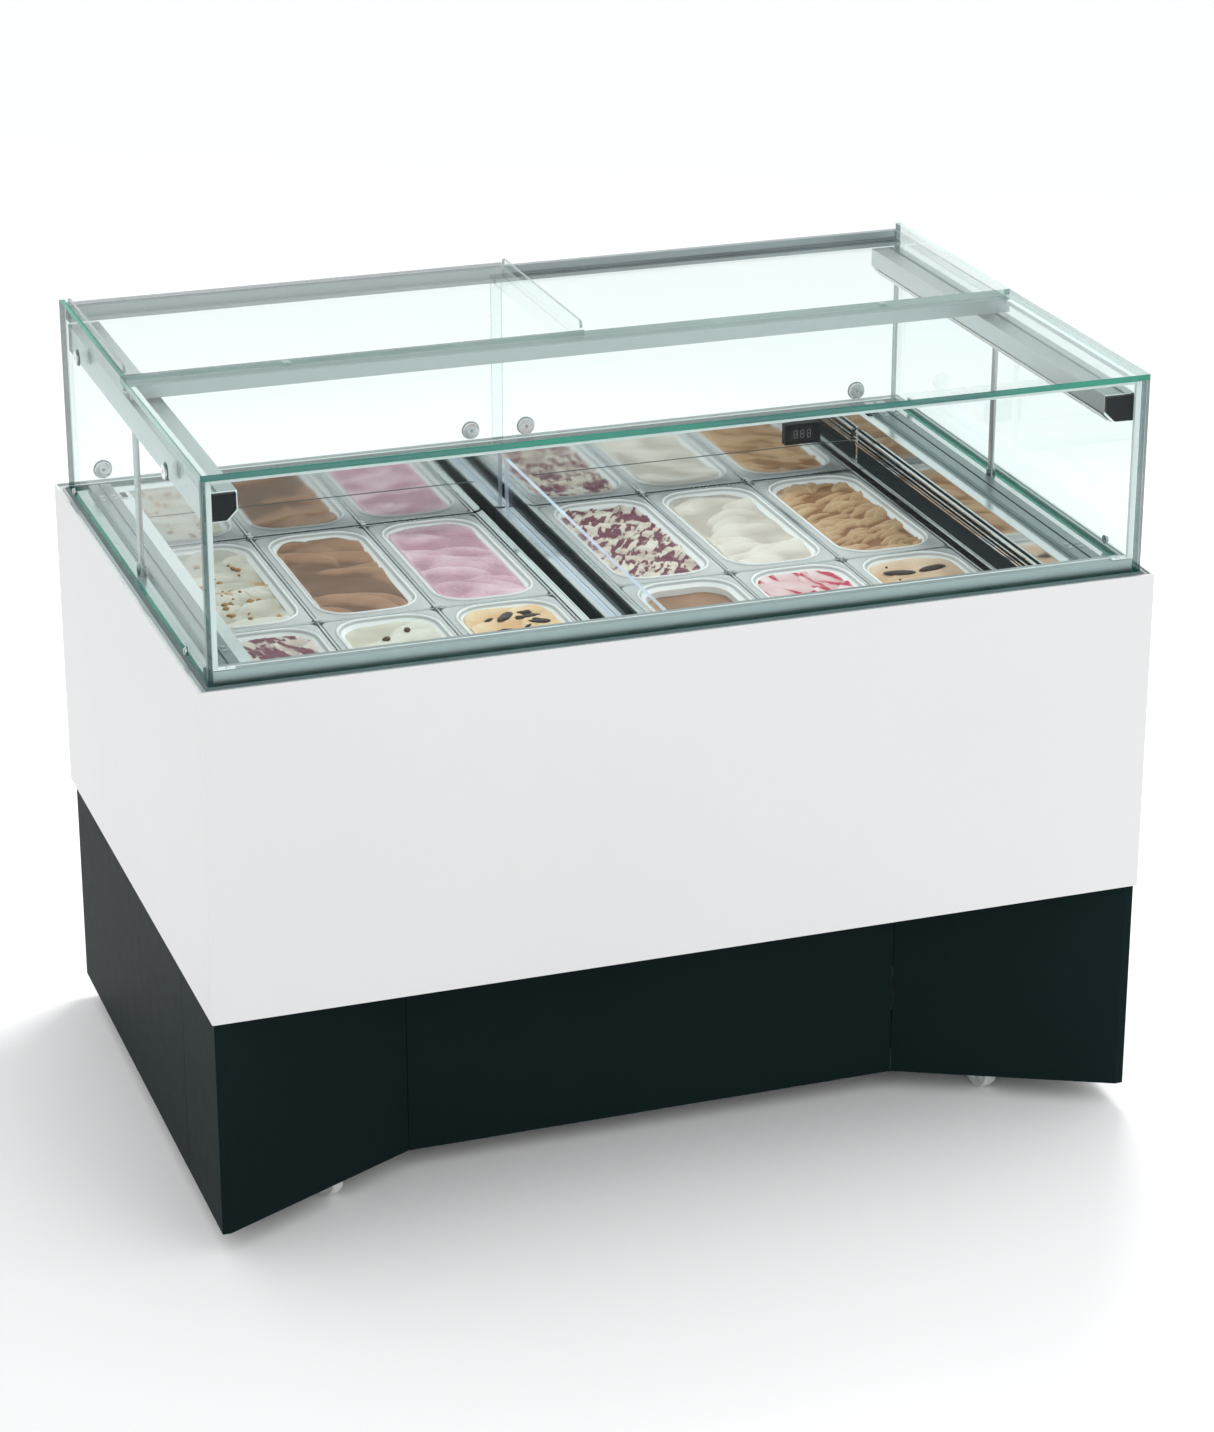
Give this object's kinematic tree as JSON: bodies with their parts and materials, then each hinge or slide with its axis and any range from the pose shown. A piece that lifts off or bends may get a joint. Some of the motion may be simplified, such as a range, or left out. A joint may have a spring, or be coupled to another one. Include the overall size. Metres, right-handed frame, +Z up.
{
  "type": "ice cream dipping cabinet",
  "caption": "Free-standing ice cream dipping cabinet: white body on a dark hourglass plinth, glass case, lift-out tubs, two sliding lids, swivel casters.",
  "frame": {"origin": "on the floor below the middle of the cabinet", "axes": "+Z up, -Y the customer's side with the front glass, +Y the server's side with the lids, +X to the right seen from the customer's side"},
  "size_m": [1.32, 0.87, 1.09],
  "materials": {
    "white_paint": "smooth powder coat",
    "plinth_paint": "satin, dark green-black",
    "polished_steel": "mirror polished stainless steel",
    "brushed_steel": "brushed",
    "aluminium": "anodised satin",
    "fin_aluminium": "plain fins",
    "dark_aluminium": "anodised dark grey",
    "frame_steel": "black primer",
    "pane_glass": "float glass with green edges",
    "clear_acrylic": "clear acrylic with polished edges",
    "tub_plastic": "semi-clear white polypropylene with frozen fill",
    "black_plastic": "satin",
    "zinc": "zinc plated",
    "grey_rubber": "light grey tread"
  },
  "bodies": {
    "cabinet": {"base_frame": "frame_steel", "plinth_wing_left": "plinth_paint", "plinth_wing_right": "plinth_paint", "plinth_middle_panel": "plinth_paint", "plinth_side_left": "plinth_paint", "plinth_side_right": "plinth_paint", "rear_grille": "plinth_paint", "compressor": "black_plastic", "condenser": "fin_aluminium", "evaporator": "fin_aluminium", "front_panel": "white_paint", "rear_panel": "white_paint", "side_panel_left": "white_paint", "side_panel_right": "white_paint", "insulated_tank": "polished_steel", "deck_frame": "brushed_steel", "tub_shelf": "brushed_steel", "tub_grid_left": "brushed_steel", "tub_grid_right": "brushed_steel", "centre_duct": "polished_steel", "divider_plate": "clear_acrylic", "controller_display": "black_plastic", "glass_front": "pane_glass", "glass_side_left": "pane_glass", "glass_side_right": "pane_glass", "glass_top": "pane_glass", "glass_rear_left": "pane_glass", "glass_rear_right": "pane_glass", "top_beam": "aluminium", "rear_rail": "aluminium", "light_rail_left": "aluminium", "light_rail_right": "aluminium", "post_left": "brushed_steel", "post_right": "brushed_steel", "glass_channel_left": "dark_aluminium", "glass_channel_right": "dark_aluminium", "front_sill": "aluminium"},
    "caster_front_left": {"caster_fork_front_left": "zinc"},
    "wheel_front_left": {"caster_wheel_front_left": "grey_rubber"},
    "caster_front_right": {"caster_fork_front_right": "zinc"},
    "wheel_front_right": {"caster_wheel_front_right": "grey_rubber"},
    "caster_rear_left": {"caster_fork_rear_left": "zinc"},
    "wheel_rear_left": {"caster_wheel_rear_left": "grey_rubber"},
    "caster_rear_right": {"caster_fork_rear_right": "zinc"},
    "wheel_rear_right": {"caster_wheel_rear_right": "grey_rubber"},
    "fan": {"condenser_fan": "black_plastic"},
    "upper_lid": {"lid_upper": "clear_acrylic"},
    "lower_lid": {"lid_lower": "clear_acrylic"},
    "tub_left_front_1": {"tub_left_front_1": "tub_plastic"},
    "tub_left_front_2": {"tub_left_front_2": "tub_plastic"},
    "tub_left_front_3": {"tub_left_front_3": "tub_plastic"},
    "tub_left_rear_1": {"tub_left_rear_1": "tub_plastic"},
    "tub_left_rear_2": {"tub_left_rear_2": "tub_plastic"},
    "tub_left_rear_3": {"tub_left_rear_3": "tub_plastic"},
    "tub_right_front_1": {"tub_right_front_1": "tub_plastic"},
    "tub_right_front_2": {"tub_right_front_2": "tub_plastic"},
    "tub_right_front_3": {"tub_right_front_3": "tub_plastic"},
    "tub_right_rear_1": {"tub_right_rear_1": "tub_plastic"},
    "tub_right_rear_2": {"tub_right_rear_2": "tub_plastic"},
    "tub_right_rear_3": {"tub_right_rear_3": "tub_plastic"}
  },
  "joints": [
    {"name": "swivel_front_left", "type": "hinge", "parent": "cabinet", "child": "caster_front_left", "pos_m": [-0.489, -0.294, 0.06], "axis": [0, 0, 1], "continuous": true},
    {"name": "roll_front_left", "type": "hinge", "parent": "caster_front_left", "child": "wheel_front_left", "pos_m": [-0.482, -0.30612, 0.025], "axis": [0.866, 0.5, 0], "continuous": true},
    {"name": "swivel_front_right", "type": "hinge", "parent": "cabinet", "child": "caster_front_right", "pos_m": [0.489, -0.294, 0.06], "axis": [0, 0, 1], "continuous": true},
    {"name": "roll_front_right", "type": "hinge", "parent": "caster_front_right", "child": "wheel_front_right", "pos_m": [0.49262, -0.30752, 0.025], "axis": [0.9659, 0.2588, 0], "continuous": true},
    {"name": "swivel_rear_left", "type": "hinge", "parent": "cabinet", "child": "caster_rear_left", "pos_m": [-0.489, 0.35, 0.06], "axis": [0, 0, 1], "continuous": true},
    {"name": "roll_rear_left", "type": "hinge", "parent": "caster_rear_left", "child": "wheel_rear_left", "pos_m": [-0.48421, 0.36316, 0.025], "axis": [-0.9397, 0.342, 0], "continuous": true},
    {"name": "swivel_rear_right", "type": "hinge", "parent": "cabinet", "child": "caster_rear_right", "pos_m": [0.489, 0.35, 0.06], "axis": [0, 0, 1], "continuous": true},
    {"name": "roll_rear_right", "type": "hinge", "parent": "caster_rear_right", "child": "wheel_rear_right", "pos_m": [0.48421, 0.36316, 0.025], "axis": [-0.9397, -0.342, 0], "continuous": true},
    {"name": "fan_spin", "type": "hinge", "parent": "cabinet", "child": "fan", "pos_m": [0.17, 0.229, 0.235], "axis": [0, 1, 0], "continuous": true},
    {"name": "upper_lid_slide", "type": "slide", "parent": "cabinet", "child": "upper_lid", "axis": [1, 0, 0], "range_m": [0, 0.62]},
    {"name": "lower_lid_slide", "type": "slide", "parent": "cabinet", "child": "lower_lid", "axis": [-1, 0, 0], "range_m": [0, 0.62]},
    {"name": "lift_tub_left_front_1", "type": "slide", "parent": "cabinet", "child": "tub_left_front_1", "axis": [0, 0, 1], "range_m": [0, 0.14]},
    {"name": "lift_tub_left_front_2", "type": "slide", "parent": "cabinet", "child": "tub_left_front_2", "axis": [0, 0, 1], "range_m": [0, 0.14]},
    {"name": "lift_tub_left_front_3", "type": "slide", "parent": "cabinet", "child": "tub_left_front_3", "axis": [0, 0, 1], "range_m": [0, 0.14]},
    {"name": "lift_tub_left_rear_1", "type": "slide", "parent": "cabinet", "child": "tub_left_rear_1", "axis": [0, 0, 1], "range_m": [0, 0.14]},
    {"name": "lift_tub_left_rear_2", "type": "slide", "parent": "cabinet", "child": "tub_left_rear_2", "axis": [0, 0, 1], "range_m": [0, 0.14]},
    {"name": "lift_tub_left_rear_3", "type": "slide", "parent": "cabinet", "child": "tub_left_rear_3", "axis": [0, 0, 1], "range_m": [0, 0.14]},
    {"name": "lift_tub_right_front_1", "type": "slide", "parent": "cabinet", "child": "tub_right_front_1", "axis": [0, 0, 1], "range_m": [0, 0.14]},
    {"name": "lift_tub_right_front_2", "type": "slide", "parent": "cabinet", "child": "tub_right_front_2", "axis": [0, 0, 1], "range_m": [0, 0.14]},
    {"name": "lift_tub_right_front_3", "type": "slide", "parent": "cabinet", "child": "tub_right_front_3", "axis": [0, 0, 1], "range_m": [0, 0.14]},
    {"name": "lift_tub_right_rear_1", "type": "slide", "parent": "cabinet", "child": "tub_right_rear_1", "axis": [0, 0, 1], "range_m": [0, 0.14]},
    {"name": "lift_tub_right_rear_2", "type": "slide", "parent": "cabinet", "child": "tub_right_rear_2", "axis": [0, 0, 1], "range_m": [0, 0.14]},
    {"name": "lift_tub_right_rear_3", "type": "slide", "parent": "cabinet", "child": "tub_right_rear_3", "axis": [0, 0, 1], "range_m": [0, 0.14]}
  ]
}
